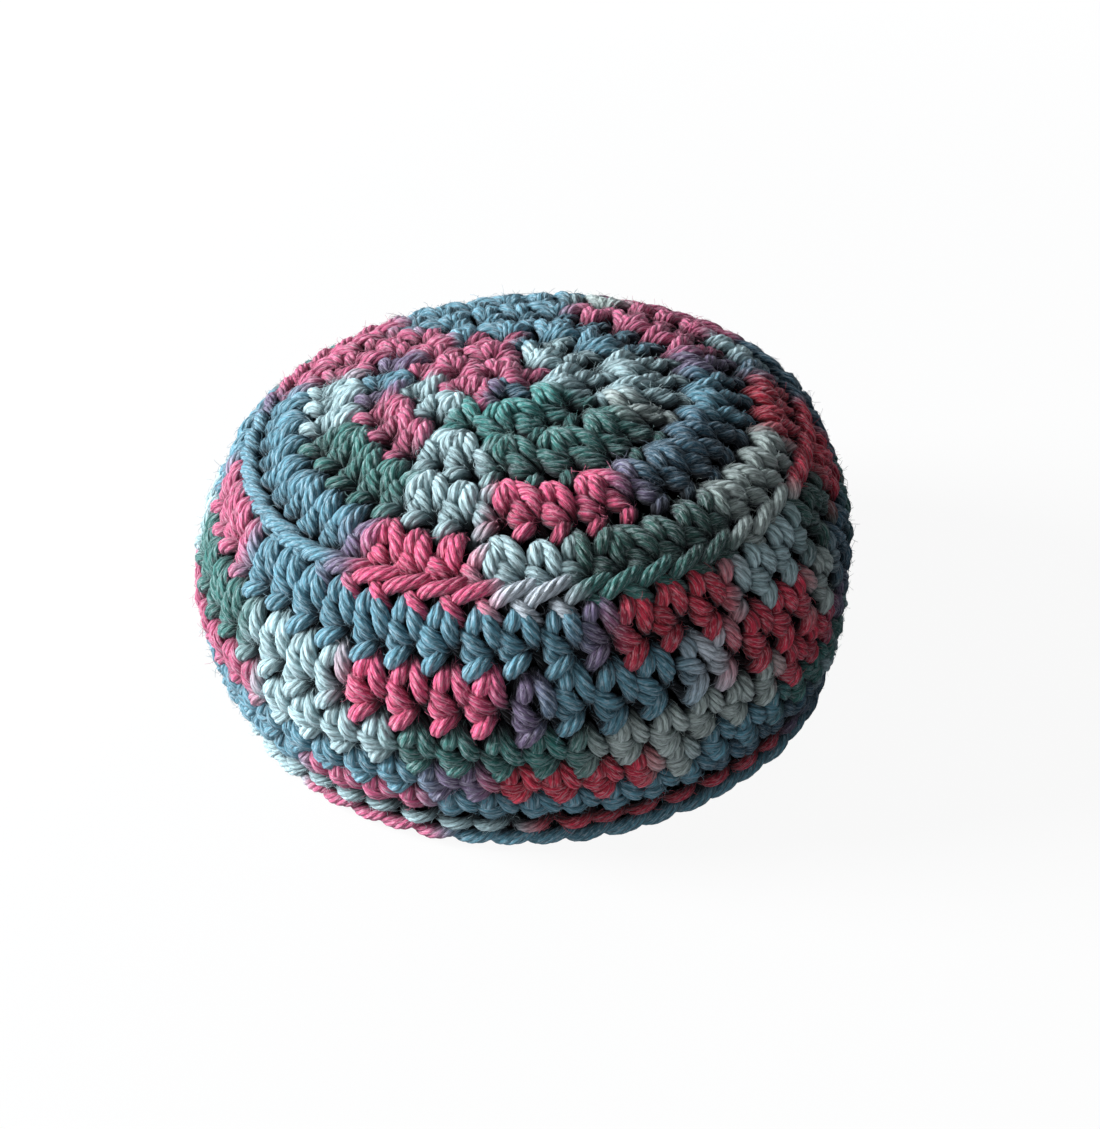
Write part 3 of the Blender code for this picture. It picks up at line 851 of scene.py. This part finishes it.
def seam_thread(material):
    """Overcast sewing round the inside of the lining's edges."""
    first, last = (point * PROFILE_STEPS for point in WALL_POINTS)
    wall = cover.line[first:last]
    edge = np.interp(-LINING_SPLIT, -wall[:, 1], wall[:, 0]) + LINING_DEPTH - LINING_THICK
    t = np.linspace(0, 1, THREAD_WINDS * WIND_POINTS + 1)
    turn, wind = 2 * np.pi * t, 2 * np.pi * THREAD_WINDS * t
    r = edge - THREAD_INSET + WIND_RADIUS * np.cos(wind)
    line = np.stack([r * np.sin(turn), -r * np.cos(turn), LINING_SPLIT + WIND_RADIUS * np.sin(wind)], 1)
    radii = np.full((1, len(line)), THREAD_RADIUS)
    colours = np.tile(linear(THREAD_COLOUR), (len(line), 1))
    mesh = tube_mesh("lining_thread", line[None], radii, colours[None], THREAD_SIDES, blocks=THREAD_BLOCKS)
    placed("lining_thread", mesh, ["lining_seam"], material)


# Fibres

# How many are tried, the points and sides of each, its radius in mm and its taper, and the radii's range
FUZZ_COUNT = 155000
FUZZ_POINTS = 4
FUZZ_SIDES = 3
FUZZ_RADIUS, FUZZ_TAPER, FUZZ_RADII = 0.022, 0.6, (0.7, 1.3)
# Heights in mm between which each piece starts, and how many of the pieces are the top's
FUZZ_BANDS = (99.0, 31.8, 30.0, 27.8, 26.1, 24.5, 21.0, 17.0, 13.0, 10.7, 8.5, 5.5, 2.0)
FUZZ_TOP_BANDS = 5
# None start deeper in the work or lower than this, or come nearer to the floor, in mm
FUZZ_DEEPEST, FUZZ_LOWEST, FUZZ_FLOOR = -0.45, 2.8, 0.1
# How much they favour the yarn's outer side, how widely they are spread, and at which share of its radius
FUZZ_OUTWARD, FUZZ_SPREAD, FUZZ_ROOT = 0.8, 0.8, 0.86
# Lengths in mm: shape and scale of their gamma distribution, and its limits
FUZZ_LENGTHS, FUZZ_LENGTH_LIMITS = (2.6, 0.26), (0.3, 1.4)
# Their way away from the yarn and along it, their disorder, and their bend, which pulls them back to it
FUZZ_AWAY, FUZZ_ALONG, FUZZ_DISORDER = (0.1, 0.5), 0.9, 0.22
FUZZ_BEND, FUZZ_BACK, FUZZ_KINK = 0.42, 0.5, 0.15
# They are paler than the yarn: the share of its colour, and what is added to it
FUZZ_DYE, FUZZ_PALE = 0.85, 0.13


def unit(vectors):
    return vectors / np.linalg.norm(vectors, axis=1)[:, None]


def fuzz_roots():
    """Places on the yarns, directions away from them and along them, and their colours."""
    weights = np.array([len(lines[0]) for lines in yarn_lines], float)
    picks = rng.choice(len(yarn_lines), FUZZ_COUNT, p=weights / weights.sum())
    base, away, tangent, colours = [], [], [], []
    for pick in picks:
        line, radii, depth, normals, dyes = yarn_lines[pick]
        i = rng.integers(1, len(line) - 1)
        if depth[i] < FUZZ_DEEPEST or line[i, 2] < FUZZ_LOWEST:
            continue
        along = line[i + 1] - line[i - 1]
        along /= np.linalg.norm(along)
        out = normals[i] * FUZZ_OUTWARD + rng.normal(0, FUZZ_SPREAD, 3)
        out -= along * out.dot(along)
        out /= np.linalg.norm(out)
        base.append(line[i] + out * radii[i] * FUZZ_ROOT)
        away.append(out)
        tangent.append(along)
        colours.append(dyes[i])
    return [np.array(values) for values in (base, away, tangent, colours)]


def fuzz(material):
    """Fine short fibres that stand off the yarn, as one piece for each band of heights."""
    base, away, tangent, colours = fuzz_roots()
    count = len(base)
    length = rng.gamma(*FUZZ_LENGTHS, count).clip(*FUZZ_LENGTH_LIMITS)
    rise = rng.uniform(*FUZZ_AWAY, (count, 1))
    way = rng.choice([-1, 1], (count, 1))
    heading = unit(away * rise + tangent * way * FUZZ_ALONG + rng.normal(0, FUZZ_DISORDER, (count, 3)))
    bend = rng.normal(0, FUZZ_BEND, (count, 3)) - away * FUZZ_BACK
    lines = np.empty((count, FUZZ_POINTS, 3))
    point = base.copy()
    for k in range(FUZZ_POINTS):
        lines[:, k] = point
        point = point + heading * (length / (FUZZ_POINTS - 1))[:, None]
        heading = unit(heading + bend + rng.normal(0, FUZZ_KINK, (count, 3)))
    lines[:, :, 2] = np.maximum(lines[:, :, 2], FUZZ_FLOOR)
    radii = np.tile(FUZZ_RADIUS * np.linspace(1, FUZZ_TAPER, FUZZ_POINTS), (count, 1))
    radii *= rng.uniform(*FUZZ_RADII, (count, 1))
    colours = colours[:, None, :].repeat(FUZZ_POINTS, 1) * FUZZ_DYE + FUZZ_PALE
    for band, (high, low) in enumerate(zip(FUZZ_BANDS, FUZZ_BANDS[1:])):
        kept = (base[:, 2] >= low) & (base[:, 2] < high)
        name = f"fuzz_{band + 1}"
        node, slot = TOP if band < FUZZ_TOP_BANDS else WALL
        columns = math.ceil(math.sqrt(kept.sum()))
        mesh = tube_mesh(name, lines[kept], radii[kept], colours[kept], FUZZ_SIDES, columns=columns)
        placed(name, mesh, [node], material)


# Light, floor and camera

# Lights as (name, place, what it points at, diameter, all in metres, watts, colour)
LIGHTS = (
    ("key", (-0.55, 0.05, 0.28), (0, 0, 0.015), 0.26, 8.2, (0.95, 0.98, 1.0)),
    ("fill", (-0.16, -0.44, 0.15), (0, 0, 0.012), 0.30, 0.55, (0.97, 0.98, 1.0)),
    ("back", (0.24, 0.34, 0.20), (0, 0, 0.02), 0.30, 0.6, (0.95, 0.98, 1.0)),
)
WHITE = (1, 1, 1, 1)
# The light from all round, which the camera sees as white
SKY, SKY_STRENGTH = (0.82, 0.9, 1.0, 1), 0.038
# The floor is seen as nearly white, so that its shadow is faint, and it brightens between these distances in
# metres. The bag itself sees it as grey.
FLOOR_REACH = 3
FLOOR_MATT, FLOOR_GLOW = (0.8, 0.8, 0.8, 1), 0.93
FLOOR_BRIGHTENS, FLOOR_STRENGTHS = (0.08, 0.45), (1.0, 1.08)
FLOOR_UNSEEN = (0.30, 0.30, 0.31, 1)


def area_light(name, location, target, size, power, colour):
    light = bpy.data.lights.new(name, "AREA")
    light.shape, light.size, light.energy, light.color = "DISK", size, power, colour
    lamp = bpy.data.objects.new(name, light)
    lamp.location = location
    lamp.rotation_mode = "QUATERNION"
    lamp.rotation_quaternion = (Vector(target) - Vector(location)).to_track_quat("-Z", "Y")
    bpy.context.scene.collection.objects.link(lamp)


def camera_sees(tree, otherwise, seen):
    """One shader for the camera's own rays and another for all the rest."""
    is_camera = node_of(tree, "ShaderNodeLightPath").outputs["Is Camera Ray"]
    return node_of(tree, "ShaderNodeMixShader", {0: is_camera, 1: otherwise, 2: seen}).outputs[0]


def studio():
    """White surroundings and floor, a main light from the upper left, and weak ones from front and back."""
    scene = bpy.context.scene
    scene.view_settings.view_transform = "Standard"
    world = bpy.data.worlds.new("surroundings")
    scene.world = world
    world.use_nodes = True
    tree = world.node_tree
    sky = tree.nodes["Background"]
    sky.inputs["Color"].default_value = SKY
    sky.inputs["Strength"].default_value = SKY_STRENGTH
    white = node_of(tree, "ShaderNodeBackground", {"Color": WHITE, "Strength": 1.0})
    shown = camera_sees(tree, sky.outputs[0], white.outputs[0])
    tree.links.new(shown, tree.nodes["World Output"].inputs["Surface"])
    for light in LIGHTS:
        area_light(*light)

    floor_mesh = bpy.data.meshes.new("floor")
    corners = [(x * FLOOR_REACH, y * FLOOR_REACH, 0) for x, y in ((-1, -1), (1, -1), (1, 1), (-1, 1))]
    floor_mesh.from_pydata(corners, [], [(0, 1, 2, 3)])
    floor = bpy.data.objects.new("floor", floor_mesh)
    scene.collection.objects.link(floor)
    made = bpy.data.materials.new("floor")
    made.use_nodes = True
    tree = made.node_tree
    tree.nodes.clear()
    matt = node_of(tree, "ShaderNodeBsdfDiffuse", {"Color": FLOOR_MATT}).outputs[0]
    place = node_of(tree, "ShaderNodeTexCoord").outputs["Object"]
    distance = node_of(tree, "ShaderNodeVectorMath", {0: place}, operation="LENGTH").outputs["Value"]
    strength = ranged(tree, distance, *FLOOR_BRIGHTENS, *FLOOR_STRENGTHS)
    glow = node_of(tree, "ShaderNodeEmission", {"Color": WHITE, "Strength": strength}).outputs[0]
    seen = node_of(tree, "ShaderNodeMixShader", {0: FLOOR_GLOW, 1: matt, 2: glow}).outputs[0]
    unseen = node_of(tree, "ShaderNodeBsdfDiffuse", {"Color": FLOOR_UNSEEN}).outputs[0]
    node_of(tree, "ShaderNodeOutputMaterial", {"Surface": camera_sees(tree, unseen, seen)})
    floor_mesh.materials.append(made)


# The photograph's view, from a fit of the ridge, the bulge and the foot to their outlines: degrees above
# level and of roll, and metres away from the target
ELEVATION, ROLL, DISTANCE = 34.5, -3.4, 0.220
TARGET = (0, 0, 0.014)
# In pixels: the photograph, the focal length, and where the target lies in it
PHOTO_WIDTH, PHOTO_HEIGHT = 1100, 1129
FOCAL_LENGTH, TARGET_AT = 2239.0, (530, 539)
SENSOR_WIDTH = 36.0


def camera():
    elevation, roll = math.radians(ELEVATION), math.radians(ROLL)
    back = Vector((0, -math.cos(elevation), math.sin(elevation)))
    right = Vector((1, 0, 0))
    up = Vector((0, math.sin(elevation), math.cos(elevation)))
    tilted_right = right * math.cos(roll) + up * math.sin(roll)
    tilted_up = -right * math.sin(roll) + up * math.cos(roll)
    data = bpy.data.cameras.new("camera")
    data.sensor_fit = "HORIZONTAL"
    data.sensor_width = SENSOR_WIDTH
    data.lens = FOCAL_LENGTH / PHOTO_WIDTH * SENSOR_WIDTH
    data.shift_x = (PHOTO_WIDTH / 2 - TARGET_AT[0]) / PHOTO_WIDTH
    data.shift_y = (TARGET_AT[1] - PHOTO_HEIGHT / 2) / PHOTO_WIDTH
    data.clip_start, data.clip_end = 0.01, 20.0
    made = bpy.data.objects.new("camera", data)
    axes = Matrix((tilted_right, tilted_up, back)).transposed().to_4x4()
    made.matrix_world = Matrix.Translation(Vector(TARGET) + back * DISTANCE) @ axes
    bpy.context.scene.collection.objects.link(made)
    bpy.context.scene.camera = made


camera()
studio()

YARN_SLOTS = ("top_yarn", "ridge_yarn", "wall_yarn", "seam_yarn", "base_yarn")
NOISE_APART = 11.0
yarns = {slot: yarn_material(slot, NOISE_APART * k) for k, slot in enumerate(YARN_SLOTS)}
crochet(ROUNDS, yarns)
looped("ridge", RIDGE_PLACE, RIDGE_PHASE, RIDGE_LOOP, *RIDGE, yarns["ridge_yarn"], slants=RIDGE_SLANTS)
looped("dashes", DASH_PLACE, DASH_PHASE, DASH_LOOP, *WALL, yarns["wall_yarn"])
looped("rope", ROPE_PLACE, ROPE_PHASE, ROPE_LOOP, *SEAM, yarns["seam_yarn"], above_floor=True)
looped("seam", SEAM_PLACE, SEAM_PHASE, ROPE_LOOP, *SEAM, yarns["seam_yarn"], above_floor=True)

cloth = cloth_material("lining_cloth", LINING_COLOUR)
upper = placed("lining_upper", lining_shell("lining_upper", True), ["lining_top"], cloth)
lower = placed("lining_lower", lining_shell("lining_lower", False), ["lining_bottom"], cloth)
seam_thread(fibre_material())
placed("pellets", pellet_mesh(), ["pellet_fill"], pellet_material())
fuzz(fibre_material())
